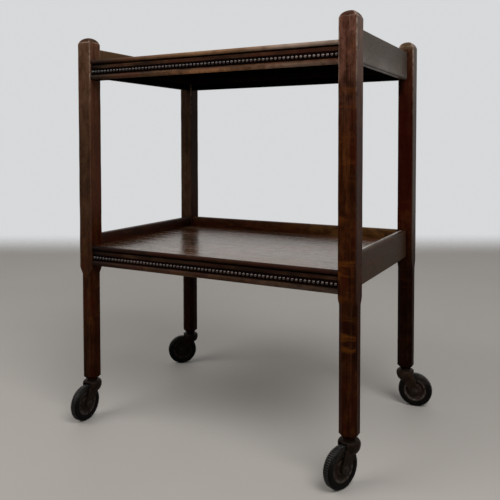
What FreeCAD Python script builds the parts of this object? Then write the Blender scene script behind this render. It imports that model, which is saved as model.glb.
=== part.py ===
import FreeCAD, Part
import os
import re
import Sketcher

# Two-tier oak tea trolley on swivel casters.
# The origin is on the floor, midway between the four posts; the front is towards -Y and +Z is up.

# Driving dimensions, in millimetres, degrees and counts
SIZES = {
    # Whole trolley, over the posts and up to the domes
    "overall_width": 594,
    "overall_depth": 400,
    "overall_height": 785.5,
    # Posts: square, domed at the top, stop-chamfered to an octagon below the lower tier
    "post_width": 32,
    "dome_rise": 13.6,
    "leg_end_chamfer": 4.6,
    "leg_neck_height": 3,
    "leg_neck_diameter": 22,
    "leg_chamfer": 8,
    "chamfer_stop": 15,
    "square_below_tier": 43.5,
    # Tiers: how far the posts stand above the upper gallery, both galleries above their boards, lower board
    "post_rise": 22,
    "upper_gallery": 25.5,
    "lower_gallery": 22,
    "lower_board_height": 360,
    # Boards, with a rounded front edge
    "board_thickness": 7.5,
    "nosing_setback": 1,
    "nosing_round": 3.6,
    # End rails and back rails, standing above the boards as a gallery
    "rail_height": 59,
    "rail_thickness": 15,
    "rail_inset": 13.5,
    "rail_edge_round": 3,
    # Front rails, from the board down: recess, plain frieze, bead band and rounded lip
    "front_rail_depth": 16,
    "recess_height": 3.5,
    "recess_setback": 7,
    "frieze_height": 6.5,
    "frieze_setback": 4.5,
    "bead_band_height": 12.4,
    "lip_height": 10.1,
    "lip_setback": 1,
    "lip_round": 5.5,
    # Bead mouldings
    "bead_diameter": 6.8,
    "bead_pitch": 7.9,
    "bead_backing": 2,
    # Stub tenons
    "tenon_thickness": 8,
    "tenon_height": 22,
    "tenon_margin": 4,
    "long_tenon_length": 18,
    "end_tenon_length": 12,
    # Glue cleats under the boards
    "cleat_width": 12,
    "cleat_end_gap": 2,
    # Wheels
    "wheel_diameter": 71,
    "tyre_width": 16,
    "tyre_shoulder": 4.5,
    "disc_plate": 1.6,
    "disc_face": 3.4,
    "disc_slope": 1.8,
    "disc_boss_radius": 11.5,
    "disc_boss_rise": 2.8,
    "disc_dish_radius": 15.5,
    "disc_rim_radius": 24.2,
    "disc_rim_lip": 2.6,
    "disc_rim_inset": 1.2,
    "bush_diameter": 16,
    # Caster horns: a round hood over the wheel and two arms down to the axle
    "caster_trail": 21,
    "hood_headroom": 6.2,
    "hood_radius": 19.2,
    "hood_crown_radius": 15,
    "hood_crown_drop": 6.5,
    "hood_crown_round": 7,
    "hood_neck_radius": 14,
    "hood_height": 21,
    "hood_side_round": 20,
    "hood_plate": 2.6,
    "hood_hollow": 13,
    "arm_plate": 3,
    "arm_root_drop": 12,
    "arm_root_front": 11,
    "arm_root_back": 19,
    "arm_boss_radius": 8,
    "arm_front_lean": 53,
    "arm_back_lean": 70.5,
    "wheel_side_clearance": 1.6,
    "wheel_top_clearance": 2.6,
    # Swivel: stem, socket and thrust washer
    "stem_diameter": 10,
    "stem_grip": 40,
    "stem_head_diameter": 14,
    "stem_head_height": 2.8,
    "socket_wall": 2,
    "socket_end_gap": 3,
    "flange_diameter": 20,
    "flange_thickness": 1.2,
    "washer_diameter": 20,
    "washer_thickness": 1,
    # Axle rivets
    "axle_diameter": 8,
    "axle_head_diameter": 13,
    "axle_head_height": 2.5,
    # Directions in which the wheels trail, turned from +X
    "swivel_angle_front_left": 268,
    "swivel_angle_front_right": 246,
    "swivel_angle_back_right": 6,
    "swivel_angle_back_left": 220,
    # Clearances, and how far cuts run past the faces that they open
    "joint_clearance": 0.1,
    "running_clearance": 0.05,
    "swivel_gap": 0.1,
    "bush_end_gap": 0.3,
    "overrun": 2,
}

# Lengths worked out from the driving dimensions, as expressions
POST_HALF = "post_width / 2"
CLEAR_WIDTH = "(overall_width - 2 * post_width)"
CLEAR_DEPTH = "(overall_depth - 2 * post_width)"
DOME_RADIUS = "((post_width / 2)^2 + dome_rise^2) / (2 * dome_rise)"
RAIL_MIDDLE = "(rail_inset + rail_thickness / 2)"
RAIL_INNER = "(rail_inset + rail_thickness)"
FRONT_RAIL_MIDDLE = "(recess_setback + front_rail_depth / 2)"
FRONT_RAIL_HEIGHT = "(recess_height + frieze_height + bead_band_height + lip_height)"
BEAD_COUNT = f"floor({CLEAR_WIDTH} / bead_pitch)"
WHEEL_RADIUS = "(wheel_diameter / 2)"
FORK_GAP = "(tyre_width + 2 * wheel_side_clearance)"
FORK_WIDTH = f"({FORK_GAP} + 2 * arm_plate)"
HOOD_TOP = "(wheel_diameter + hood_headroom)"
WASHER_TOP = f"({HOOD_TOP} + washer_thickness)"
LEG_END = f"({WASHER_TOP} + swivel_gap + flange_thickness)"
NECK_TOP = f"({LEG_END} + leg_neck_height)"
CHAMFER_TOP = "(lower_board_height - square_below_tier)"
BOARD_TOP = {
    "upper": "(overall_height - post_rise - upper_gallery)",
    "lower": "lower_board_height",
}
RAIL_TOP = {
    "upper": "(overall_height - post_rise)",
    "lower": "(lower_board_height + lower_gallery)",
}
DISC_RIM = "(tyre_width / 2 - disc_rim_inset)"

LEFT, RIGHT = -1, 1
FRONT, BACK = -1, 1
TIERS = ("upper", "lower")

doc = FreeCAD.newDocument("TeaTrolley")
sheet = doc.addObject("Spreadsheet::Sheet", "Sizes")
for row, (size_name, size) in enumerate(SIZES.items(), start=1):
    sheet.set(f"A{row}", size_name)
    sheet.set(f"B{row}", str(size))
    sheet.setAlias(f"B{row}", size_name)
doc.recompute()

sub_parts = []


def sized(text):
    """Expression text with every size name pointed at the sheet"""
    return re.sub(r"[a-z_]+", lambda word: f"Sizes.{word[0]}" if word[0] in SIZES else word[0], text)


def measure(text):
    """Present value of an expression"""
    return float(sheet.evalExpression(sized(text)))


def bind(item, **sizes):
    """Bind properties of an object to expressions"""
    for prop, text in sizes.items():
        item.setExpression(prop, sized(text))


def place(item, x="0", y="0", z="0", turn="0"):
    """Place an object by expressions, turned about +Z"""
    rotation = FreeCAD.Rotation(FreeCAD.Vector(0, 0, 1), measure(turn))
    item.Placement = FreeCAD.Placement(FreeCAD.Vector(), rotation)
    for axis, text in (("x", x), ("y", y), ("z", z)):
        item.setExpression(f"Placement.Base.{axis}", sized(text))
    item.setExpression("Placement.Rotation.Angle", sized(turn))


def new_body(label, **where):
    """Empty body of one sub-part, at its place on the trolley"""
    body = doc.addObject("PartDesign::Body", label)
    body.Label = label
    place(body, **where)
    sub_parts.append(body)
    return body


def origin_feature(body, role):
    """Plane or axis of a body's own origin"""
    return next(feature for feature in body.Origin.OriginFeatures if feature.Role == role)


def new_sketch(body, role, lift=None, turn=0):
    """Empty sketch on one of a body's origin planes, lifted off it or turned about its upright"""
    sketch = body.newObject("Sketcher::SketchObject", "Sketch")
    sketch.AttachmentSupport = [(origin_feature(body, role), "")]
    sketch.MapMode = "FlatFace"
    rotation = FreeCAD.Rotation(FreeCAD.Vector(0, 1, 0), turn)
    sketch.AttachmentOffset = FreeCAD.Placement(FreeCAD.Vector(), rotation)
    if lift:
        sketch.setExpression("AttachmentOffset.Base.z", sized(lift))
    return sketch


def pin(sketch, index, end, x, y):
    """Tie a point of a sketch to expressions, measured from the sketch's origin"""
    for kind, text in (("DistanceX", x), ("DistanceY", y)):
        tie = sketch.addConstraint(Sketcher.Constraint(kind, -1, 1, index, end, measure(text)))
        sketch.setExpression(f"Constraints[{tie}]", sized(text))


def clockwise_arc(start, finish, radius):
    """Arc of under half a circle from start to finish, turning clockwise"""
    half = (finish - start) / 2
    rise = max(radius ** 2 - half.Length ** 2, 0) ** 0.5
    normal = FreeCAD.Vector(half.y, -half.x, 0).normalize()
    centre = start + half + normal * rise
    first, last = finish - centre, start - centre
    circle = Part.Circle(centre, FreeCAD.Vector(0, 0, 1), radius)
    zero = FreeCAD.Vector(1, 0, 0)
    angles = [zero.getAngle(arm) if arm.y >= 0 else -zero.getAngle(arm) for arm in (first, last)]
    return Part.ArcOfCircle(circle, *angles)


def outline(sketch, corners):
    """Closed outline through corners (x, y), or (x, y, radius) where a clockwise arc leads to the next"""
    spots = [FreeCAD.Vector(measure(corner[0]), measure(corner[1]), 0) for corner in corners]
    begins, finishes = [], []
    for index, corner in enumerate(corners):
        here, there = spots[index], spots[(index + 1) % len(spots)]
        is_arc = len(corner) == 3
        if is_arc:
            sketch.addGeometry(clockwise_arc(here, there, measure(corner[2])))
        else:
            sketch.addGeometry(Part.LineSegment(here, there))
        begins.append(2 if is_arc else 1)
        finishes.append(1 if is_arc else 2)
    for index in range(len(corners)):
        follower = (index + 1) % len(corners)
        sketch.addConstraint(
            Sketcher.Constraint("Coincident", index, finishes[index], follower, begins[follower]))
    for index, corner in enumerate(corners):
        pin(sketch, index, begins[index], corner[0], corner[1])
        if len(corner) == 3:
            tie = sketch.addConstraint(Sketcher.Constraint("Radius", index, measure(corner[2])))
            sketch.setExpression(f"Constraints[{tie}]", sized(corner[2]))


def rectangle(sketch, low_x, low_y, high_x, high_y):
    """Rectangle between two corners"""
    outline(sketch, [(low_x, low_y), (high_x, low_y), (high_x, high_y), (low_x, high_y)])


def circle(sketch, x, y, radius):
    """Circle about a point"""
    centre = FreeCAD.Vector(measure(x), measure(y), 0)
    index = sketch.addGeometry(Part.Circle(centre, FreeCAD.Vector(0, 0, 1), measure(radius)))
    pin(sketch, index, 3, x, y)
    tie = sketch.addConstraint(Sketcher.Constraint("Radius", index, measure(radius)))
    sketch.setExpression(f"Constraints[{tie}]", sized(radius))


def pad(body, sketch, length, both_ways=True):
    """Pad a sketch, to both sides of it or along its normal"""
    feature = body.newObject("PartDesign::Pad", "Pad")
    feature.Profile = sketch
    feature.SideType = "Symmetric" if both_ways else "One side"
    bind(feature, Length=length)
    return feature


def pocket(body, sketch, length):
    """Cut a sketch out of a body to both sides of it"""
    feature = body.newObject("PartDesign::Pocket", "Pocket")
    feature.Profile = sketch
    feature.SideType = "Symmetric"
    bind(feature, Length=length)
    return feature


def revolve(body, sketch):
    """Turn a sketch once round its own upright axis"""
    feature = body.newObject("PartDesign::Revolution", "Revolution")
    feature.Profile = sketch
    feature.ReferenceAxis = (sketch, ["V_Axis"])
    feature.Angle = 360
    return feature


def cut_box(body, low, extent):
    """Cut a box, given by its low corner and its extent, out of a body"""
    feature = body.newObject("PartDesign::SubtractiveBox", "Box")
    bind(feature, Length=extent[0], Width=extent[1], Height=extent[2])
    place(feature, *low)
    return feature


def cut_bore(body, radius, low, length):
    """Cut an upright bore out of the middle of a body"""
    feature = body.newObject("PartDesign::SubtractiveCylinder", "Bore")
    bind(feature, Radius=radius, Height=length)
    place(feature, z=low)
    return feature


def round_edges(body, feature, radius, wanted):
    """Fillet those edges of a feature whose middle point passes a test"""
    doc.recompute()
    names = [
        f"Edge{number}"
        for number, edge in enumerate(feature.Shape.Edges, start=1)
        if wanted(edge.valueAt((edge.FirstParameter + edge.LastParameter) / 2), edge)
    ]
    fillet = body.newObject("PartDesign::Fillet", "Fillet")
    fillet.Base = (feature, names)
    bind(fillet, Radius=radius)
    return fillet


def signed(side, text):
    """Expression on the left or front when side is negative, on the right or back when positive"""
    return f"{side} * ({text})"


# Posts

def stop_chamfers(body):
    """Cut the four corners of the lower leg, each running out in a sloping stop"""
    corner = f"{POST_HALF} * sqrt(2)"
    flat = f"({POST_HALF} * sqrt(2) - leg_chamfer / sqrt(2))"
    sketch = new_sketch(body, "XZ_Plane", turn=45)
    outline(sketch, [
        (flat, f"{NECK_TOP} - overrun"),
        (f"{corner} + overrun", f"{NECK_TOP} - overrun"),
        (f"{corner} + overrun", CHAMFER_TOP),
        (corner, CHAMFER_TOP),
        (flat, f"{CHAMFER_TOP} - chamfer_stop"),
    ])
    corner_cut = pocket(body, sketch, "2 * post_width")
    pattern = body.newObject("PartDesign::PolarPattern", "Corners")
    pattern.Originals = [corner_cut]
    pattern.Axis = (origin_feature(body, "Z_Axis"), [""])
    pattern.Angle = 360
    pattern.Occurrences = 4
    body.Tip = pattern
    return pattern


def dome(body):
    """Round the top of a post over in both directions"""
    shoulder = "overall_height - dome_rise"
    for role in ("XZ_Plane", "YZ_Plane"):
        sketch = new_sketch(body, role)
        outline(sketch, [
            (f"-{POST_HALF}", shoulder, DOME_RADIUS),
            (POST_HALF, shoulder),
            (POST_HALF, "overall_height + overrun"),
            (f"-{POST_HALF}", "overall_height + overrun"),
        ])
        pocket(body, sketch, "2 * post_width")


def mortise_start(towards, length):
    """Low end of a mortise that opens on the face towards a side of its post"""
    if towards < 0:
        return f"-{POST_HALF} - overrun"
    return f"{POST_HALF} - {length} - joint_clearance"


def mortises(body, side, end, tier):
    """Mortises of one tier: one for the long rail, one for the end rail"""
    width = "tenon_thickness + 2 * joint_clearance"
    height = "tenon_height + 2 * joint_clearance"
    if end == FRONT:
        long_middle = f"{FRONT_RAIL_MIDDLE} - {POST_HALF}"
        long_low = f"{BOARD_TOP[tier]} - board_thickness - {FRONT_RAIL_HEIGHT} / 2 - tenon_height / 2"
    else:
        long_middle = f"{POST_HALF} - {RAIL_MIDDLE}"
        long_low = f"{RAIL_TOP[tier]} - tenon_margin - tenon_height"
    long_start = mortise_start(-side, "long_tenon_length")
    cut_box(
        body,
        (long_start, f"{long_middle} - ({width}) / 2", f"{long_low} - joint_clearance"),
        ("long_tenon_length + joint_clearance + overrun", width, height))
    end_middle = signed(side, f"{POST_HALF} - {RAIL_MIDDLE}")
    end_low = f"{RAIL_TOP[tier]} - rail_height + tenon_margin"
    end_start = mortise_start(-end, "end_tenon_length")
    cut_box(
        body,
        (f"{end_middle} - ({width}) / 2", end_start, f"{end_low} - joint_clearance"),
        (width, "end_tenon_length + joint_clearance + overrun", height))


def make_post(label, side, end):
    """Post with its dome, chamfered leg, short round neck, mortises and caster bore"""
    body = new_body(
        label,
        x=signed(side, f"overall_width / 2 - {POST_HALF}"),
        y=signed(end, f"overall_depth / 2 - {POST_HALF}"))
    section = new_sketch(body, "XY_Plane", lift=NECK_TOP)
    rectangle(section, f"-{POST_HALF}", f"-{POST_HALF}", POST_HALF, POST_HALF)
    pad(body, section, f"overall_height - {NECK_TOP}", both_ways=False)
    dome(body)
    pattern = stop_chamfers(body)
    doc.recompute()
    foot = min(range(len(pattern.Shape.Faces)), key=lambda k: pattern.Shape.Faces[k].CenterOfMass.z)
    chamfer = body.newObject("PartDesign::Chamfer", "LegEnd")
    chamfer.Base = (pattern, [f"Face{foot + 1}"])
    bind(chamfer, Size="leg_end_chamfer")
    neck = new_sketch(body, "XY_Plane", lift=LEG_END)
    circle(neck, "0", "0", "leg_neck_diameter / 2")
    pad(body, neck, "leg_neck_height", both_ways=False)
    for tier in TIERS:
        mortises(body, side, end, tier)
    cut_bore(
        body,
        "stem_diameter / 2 + running_clearance + socket_wall + running_clearance",
        f"{LEG_END} - overrun",
        "overrun + stem_grip + socket_end_gap")


# Boards

def make_board(label, board_height):
    """Board notched round the posts, with a rounded front edge"""
    body = new_body(label, z=board_height)
    between_posts = f"({CLEAR_WIDTH} / 2 - joint_clearance)"
    between_rails = f"(overall_width / 2 - {RAIL_INNER} - joint_clearance)"
    nosing = "-overall_depth / 2 + nosing_setback"
    front_notch = "-overall_depth / 2 + post_width + joint_clearance"
    back_notch = "overall_depth / 2 - post_width - joint_clearance"
    back = f"overall_depth / 2 - {RAIL_INNER} - joint_clearance"
    right_edge = [
        (between_posts, nosing),
        (between_posts, front_notch),
        (between_rails, front_notch),
        (between_rails, back_notch),
        (between_posts, back_notch),
        (between_posts, back),
    ]
    left_edge = [(f"-{x}", y) for x, y in reversed(right_edge)]
    sketch = new_sketch(body, "XY_Plane", lift="-board_thickness")
    outline(sketch, right_edge + left_edge)
    slab = pad(body, sketch, "board_thickness", both_ways=False)
    front = measure(nosing)
    round_edges(
        body, slab, "nosing_round",
        lambda middle, edge: abs(middle.y - front) < measure("joint_clearance")
        and edge.Length > measure("2 * board_thickness"))


# Rails

def make_rail(label, section_plane, length, tenon_length, tenon_low, **where):
    """Plain rail with eased top edges and a stub tenon at each end"""
    body = new_body(label, **where)
    half = "rail_thickness / 2"
    section = new_sketch(body, section_plane)
    rectangle(section, f"-{half}", "-rail_height", half, "0")
    board = pad(body, section, length)
    round_edges(
        body, board, "rail_edge_round",
        lambda middle, edge: abs(middle.z) < measure("joint_clearance")
        and edge.Length > measure("2 * rail_thickness"))
    tenon = new_sketch(body, section_plane)
    rectangle(
        tenon, "-tenon_thickness / 2", tenon_low, "tenon_thickness / 2", f"{tenon_low} + tenon_height")
    pad(body, tenon, f"{length} + 2 * {tenon_length}")


def make_end_rail(label, side, rail_top):
    """End rail, with its tenons in its lower half"""
    make_rail(
        label, "XZ_Plane", CLEAR_DEPTH, "end_tenon_length", "tenon_margin - rail_height",
        x=signed(side, f"overall_width / 2 - {RAIL_MIDDLE}"), z=rail_top)


def make_back_rail(label, rail_top):
    """Back rail, with its tenons in its upper half, clear of those of the end rails"""
    make_rail(
        label, "YZ_Plane", CLEAR_WIDTH, "long_tenon_length", "-tenon_margin - tenon_height",
        y=f"overall_depth / 2 - {RAIL_MIDDLE}", z=rail_top)


def make_front_rail(label, board_height):
    """Moulded front rail under the board's nosing, set out from the posts' front faces"""
    body = new_body(label, y="-overall_depth / 2", z=board_height)
    back = "recess_setback + front_rail_depth"
    lip_root = "lip_setback + lip_round - sqrt(lip_round^2 - (lip_height / 2)^2)"
    recess_low = "-board_thickness - recess_height"
    frieze_low = f"{recess_low} - frieze_height"
    band_low = f"{frieze_low} - bead_band_height"
    lip_low = f"{band_low} - lip_height"
    section = new_sketch(body, "YZ_Plane")
    outline(section, [
        (lip_root, lip_low, "lip_round"),
        (lip_root, band_low),
        ("recess_setback", band_low),
        ("recess_setback", frieze_low),
        ("frieze_setback", frieze_low),
        ("frieze_setback", recess_low),
        ("recess_setback", recess_low),
        ("recess_setback", "-board_thickness"),
        (back, "-board_thickness"),
        (back, lip_low),
    ])
    pad(body, section, CLEAR_WIDTH)
    tenon_middle = f"-board_thickness - {FRONT_RAIL_HEIGHT} / 2"
    tenon = new_sketch(body, "YZ_Plane")
    rectangle(
        tenon,
        f"{FRONT_RAIL_MIDDLE} - tenon_thickness / 2", f"{tenon_middle} - tenon_height / 2",
        f"{FRONT_RAIL_MIDDLE} + tenon_thickness / 2", f"{tenon_middle} + tenon_height / 2")
    pad(body, tenon, f"{CLEAR_WIDTH} + 2 * long_tenon_length")


def make_bead_moulding(label, board_height):
    """Strip of half-round beads, let into the bead band of a front rail"""
    body = new_body(
        label,
        y="-overall_depth / 2 + recess_setback",
        z=f"{board_height} - board_thickness - recess_height - frieze_height - bead_band_height / 2")
    half = "(bead_band_height / 2 - joint_clearance)"
    strip = new_sketch(body, "YZ_Plane")
    rectangle(strip, "-bead_backing", f"-{half}", "0", half)
    pad(body, strip, f"{CLEAR_WIDTH} - 2 * joint_clearance")
    bead = body.newObject("PartDesign::AdditiveSphere", "Bead")
    bind(bead, Radius="bead_diameter / 2")
    bead.Angle3 = 180
    place(bead, x=f"-({BEAD_COUNT} - 1) * bead_pitch / 2", y="-bead_backing", turn="180")
    row_of_beads = body.newObject("PartDesign::LinearPattern", "Beads")
    row_of_beads.Originals = [bead]
    row_of_beads.Direction = (origin_feature(body, "X_Axis"), [""])
    bind(row_of_beads, Length=f"({BEAD_COUNT} - 1) * bead_pitch", Occurrences=BEAD_COUNT)
    body.Tip = row_of_beads


def make_cleats(label, board_height):
    """Three glue cleats under a board, along the end rails and the back rail"""
    low = f"{board_height} - board_thickness - cleat_width"
    end_length = f"{CLEAR_DEPTH} - 2 * cleat_end_gap"
    back_length = f"overall_width - 2 * ({RAIL_INNER} + cleat_width + cleat_end_gap)"
    strips = []
    for side in (LEFT, RIGHT):
        middle = signed(side, f"overall_width / 2 - {RAIL_INNER} - cleat_width / 2")
        strips.append(("cleat_width", end_length, f"{middle} - cleat_width / 2", f"-({end_length}) / 2"))
    back_start = f"overall_depth / 2 - {RAIL_INNER} - cleat_width"
    strips.append((back_length, "cleat_width", f"-({back_length}) / 2", back_start))
    boxes = []
    for length, width, x, y in strips:
        box = doc.addObject("Part::Box", "Cleat")
        bind(box, Length=length, Width=width, Height="cleat_width")
        place(box, x, y, low)
        boxes.append(box)
    cleats = doc.addObject("Part::Compound", label)
    cleats.Label = label
    cleats.Links = boxes
    sub_parts.append(cleats)


# Casters

def leg_place(side, end, swivel):
    """Place of a piece that stands on the axis of a leg"""
    return {
        "x": signed(side, f"overall_width / 2 - {POST_HALF}"),
        "y": signed(end, f"overall_depth / 2 - {POST_HALF}"),
        "turn": swivel,
    }


def wheel_place(side, end, swivel):
    """Place of a piece that stands on the axis of a wheel"""
    return {
        "x": signed(side, f"overall_width / 2 - {POST_HALF}") + f" + caster_trail * cos({swivel})",
        "y": signed(end, f"overall_depth / 2 - {POST_HALF}") + f" + caster_trail * sin({swivel})",
        "z": WHEEL_RADIUS,
        "turn": swivel,
    }


def turned(label, corners, where, plane="XY_Plane"):
    """Turned piece; corners are radius and distance along the axis"""
    body = new_body(label, **where)
    sketch = new_sketch(body, plane)
    outline(sketch, corners)
    revolve(body, sketch)
    return body


def ring(label, inner, outer, low, high, where, plane="XY_Plane"):
    """Plain ring or tube"""
    return turned(label, [(inner, low), (inner, high), (outer, high), (outer, low)], where, plane)


def make_socket(label, where):
    """Flanged socket, pressed into the end of a leg"""
    inner = "stem_diameter / 2 + running_clearance"
    outer = f"{inner} + socket_wall"
    top = f"{LEG_END} + stem_grip + socket_end_gap"
    turned(label, [
        (inner, f"{LEG_END} - flange_thickness"),
        (inner, top),
        (outer, top),
        (outer, LEG_END),
        ("flange_diameter / 2", LEG_END),
        ("flange_diameter / 2", f"{LEG_END} - flange_thickness"),
    ], where, "XZ_Plane")


def make_stem(label, where):
    """Stem, headed inside the hood and turning in the socket"""
    head_top = f"{HOOD_TOP} - hood_plate"
    turned(label, [
        ("0", f"{head_top} - stem_head_height"),
        ("0", f"{LEG_END} + stem_grip"),
        ("stem_diameter / 2", f"{LEG_END} + stem_grip"),
        ("stem_diameter / 2", head_top),
        ("stem_head_diameter / 2", head_top),
        ("stem_head_diameter / 2", f"{head_top} - stem_head_height"),
    ], where, "XZ_Plane")


def make_fork(label, where):
    """Caster horn: a round hood, open over the tyre, with two arms down to the axle"""
    body = new_body(label, **where)
    hood = new_sketch(body, "XZ_Plane")
    outline(hood, [
        ("0", f"{HOOD_TOP} - hood_height"),
        ("0", HOOD_TOP),
        ("hood_crown_radius", HOOD_TOP, "hood_crown_round"),
        ("hood_radius", f"{HOOD_TOP} - hood_crown_drop", "hood_side_round"),
        ("hood_neck_radius", f"{HOOD_TOP} - hood_height"),
    ])
    revolve(body, hood)
    arms = new_sketch(body, "XZ_Plane")
    root = f"{HOOD_TOP} - arm_root_drop"
    outline(arms, [
        ("-arm_root_front", root),
        ("arm_root_back", root),
        ("caster_trail + arm_boss_radius * sin(arm_back_lean)",
         f"{WHEEL_RADIUS} + arm_boss_radius * cos(arm_back_lean)"),
        ("caster_trail - arm_boss_radius * sin(arm_front_lean)",
         f"{WHEEL_RADIUS} - arm_boss_radius * cos(arm_front_lean)"),
    ])
    pad(body, arms, FORK_WIDTH)
    bosses = new_sketch(body, "XZ_Plane")
    circle(bosses, "caster_trail", WHEEL_RADIUS, "arm_boss_radius")
    pad(body, bosses, FORK_WIDTH)
    wheel_room = new_sketch(body, "XZ_Plane")
    circle(wheel_room, "caster_trail", WHEEL_RADIUS, f"{WHEEL_RADIUS} + wheel_top_clearance")
    pocket(body, wheel_room, FORK_GAP)
    hollow = new_sketch(body, "XZ_Plane")
    hollow_low = f"{HOOD_TOP} - hood_height - overrun"
    rectangle(hollow, "-hood_hollow", hollow_low, "hood_radius", f"{HOOD_TOP} - hood_plate")
    pocket(body, hollow, FORK_GAP)
    axle_hole = new_sketch(body, "XZ_Plane")
    circle(axle_hole, "caster_trail", WHEEL_RADIUS, "axle_diameter / 2 + running_clearance")
    pocket(body, axle_hole, f"{FORK_WIDTH} + 2 * overrun")
    cut_bore(
        body, "stem_diameter / 2 + running_clearance",
        f"{HOOD_TOP} - hood_plate - overrun", "hood_plate + 2 * overrun")


def make_axle(label, where):
    """Axle rivet with a domed head outside each arm"""
    shank = "axle_diameter / 2"
    head = "axle_head_diameter / 2"
    face = f"{FORK_WIDTH} / 2"
    crown = f"{face} + axle_head_height"
    head_round = f"(({head})^2 + axle_head_height^2) / (2 * axle_head_height)"
    turned(label, [
        ("0", f"-({crown})"),
        ("0", crown, head_round),
        (head, face),
        (shank, face),
        (shank, f"-{face}"),
        (head, f"-{face}", head_round),
    ], where)


def make_discs(label, where):
    """Two dished wheel discs, each with a boss and a flat lip round its rim"""
    inner = "bush_diameter / 2 + running_clearance"
    body = turned(label, [
        (inner, "disc_face - disc_plate"),
        (inner, "disc_face + disc_boss_rise"),
        ("disc_boss_radius", "disc_face + disc_boss_rise"),
        ("disc_boss_radius + disc_slope", "disc_face"),
        ("disc_dish_radius", "disc_face"),
        ("disc_rim_radius - disc_rim_lip", DISC_RIM),
        ("disc_rim_radius", DISC_RIM),
        ("disc_rim_radius", f"{DISC_RIM} - disc_plate"),
        ("disc_dish_radius", "disc_face - disc_plate"),
    ], where)
    body.AllowCompound = True
    pair = body.newObject("PartDesign::Mirrored", "Pair")
    pair.Originals = [body.Tip]
    pair.MirrorPlane = (origin_feature(body, "XZ_Plane"), [""])
    body.Tip = pair


def make_tyre(label, where):
    """Rubber tyre, coned at its bore to take the dished discs"""
    bore = "disc_dish_radius + joint_clearance"
    seat = "(disc_face - disc_plate - joint_clearance)"
    step = "disc_rim_radius + joint_clearance"
    step_seat = f"({DISC_RIM} - disc_plate - joint_clearance)"
    side = "tyre_width / 2"
    shoulder = f"{WHEEL_RADIUS} - tyre_shoulder"
    tread = f"({side} - tyre_shoulder)"
    turned(label, [
        (bore, f"-{seat}"),
        (bore, seat),
        (step, step_seat),
        (step, side),
        (shoulder, side, "tyre_shoulder"),
        (WHEEL_RADIUS, tread),
        (WHEEL_RADIUS, f"-{tread}", "tyre_shoulder"),
        (shoulder, f"-{side}"),
        (step, f"-{side}"),
        (step, f"-{step_seat}"),
    ], where)


def make_caster(corner, side, end):
    """All pieces of one caster"""
    on_leg = leg_place(side, end, f"swivel_angle_{corner}")
    on_wheel = wheel_place(side, end, f"swivel_angle_{corner}")
    make_socket(f"caster_socket_{corner}", on_leg)
    make_stem(f"caster_stem_{corner}", on_leg)
    ring(
        f"thrust_washer_{corner}", "stem_diameter / 2 + running_clearance", "washer_diameter / 2",
        HOOD_TOP, WASHER_TOP, on_leg, "XZ_Plane")
    make_fork(f"caster_fork_{corner}", on_leg)
    make_axle(f"axle_rivet_{corner}", on_wheel)
    bush_half = f"({FORK_GAP} / 2 - bush_end_gap)"
    ring(
        f"wheel_bush_{corner}", "axle_diameter / 2 + running_clearance", "bush_diameter / 2",
        f"-{bush_half}", bush_half, on_wheel)
    make_discs(f"wheel_discs_{corner}", on_wheel)
    make_tyre(f"tyre_{corner}", on_wheel)


# The trolley

CORNERS = {
    "front_left": (LEFT, FRONT),
    "front_right": (RIGHT, FRONT),
    "back_right": (RIGHT, BACK),
    "back_left": (LEFT, BACK),
}
for corner, (side, end) in CORNERS.items():
    make_post(f"post_{corner}", side, end)
    make_caster(corner, side, end)
for tier in TIERS:
    board_height = BOARD_TOP[tier]
    rail_top = RAIL_TOP[tier]
    make_board(f"{tier}_board", board_height)
    make_front_rail(f"{tier}_front_rail", board_height)
    make_bead_moulding(f"{tier}_bead_moulding", board_height)
    make_back_rail(f"{tier}_back_rail", rail_top)
    make_end_rail(f"{tier}_left_end_rail", LEFT, rail_top)
    make_end_rail(f"{tier}_right_end_rail", RIGHT, rail_top)
    make_cleats(f"{tier}_cleats", board_height)
doc.recompute()

# Check every object, then write each sub-part
for item in doc.Objects:
    if "Invalid" in item.State or "Error" in item.State:
        raise RuntimeError(f"{item.Label} did not build: {item.State}")
os.makedirs("parts", exist_ok=True)
for item in sub_parts:
    if item.Shape.isNull() or not item.Shape.isValid() or item.Shape.Volume <= 0:
        raise RuntimeError(f"{item.Label} has no valid shape")
for item in sub_parts:
    item.Shape.exportStep(f"parts/{item.Label}.step")
    print(f"{item.Label}: {len(item.Shape.Solids)} solid(s), {item.Shape.Volume / 1000:.2f} cm3")
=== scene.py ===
import math

import bmesh
import bpy
from mathutils import Matrix, Vector, noise


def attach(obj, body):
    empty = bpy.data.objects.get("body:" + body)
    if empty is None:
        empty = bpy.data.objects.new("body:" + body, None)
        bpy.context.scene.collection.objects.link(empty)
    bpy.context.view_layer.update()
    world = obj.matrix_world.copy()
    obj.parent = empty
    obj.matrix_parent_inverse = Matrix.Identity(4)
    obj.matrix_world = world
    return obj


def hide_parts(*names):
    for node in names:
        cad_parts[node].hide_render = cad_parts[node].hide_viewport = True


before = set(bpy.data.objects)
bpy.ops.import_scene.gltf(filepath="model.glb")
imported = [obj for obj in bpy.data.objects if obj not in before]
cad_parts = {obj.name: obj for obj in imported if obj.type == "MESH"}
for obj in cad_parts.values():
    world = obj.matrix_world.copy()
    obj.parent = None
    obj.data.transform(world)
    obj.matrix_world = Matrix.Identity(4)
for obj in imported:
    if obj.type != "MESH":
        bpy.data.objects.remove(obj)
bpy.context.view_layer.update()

# Two-tier oak tea trolley on swivel casters, in metres.
# The origin is on the floor, midway between the posts; the front is towards -Y.

MM = 0.001

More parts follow.
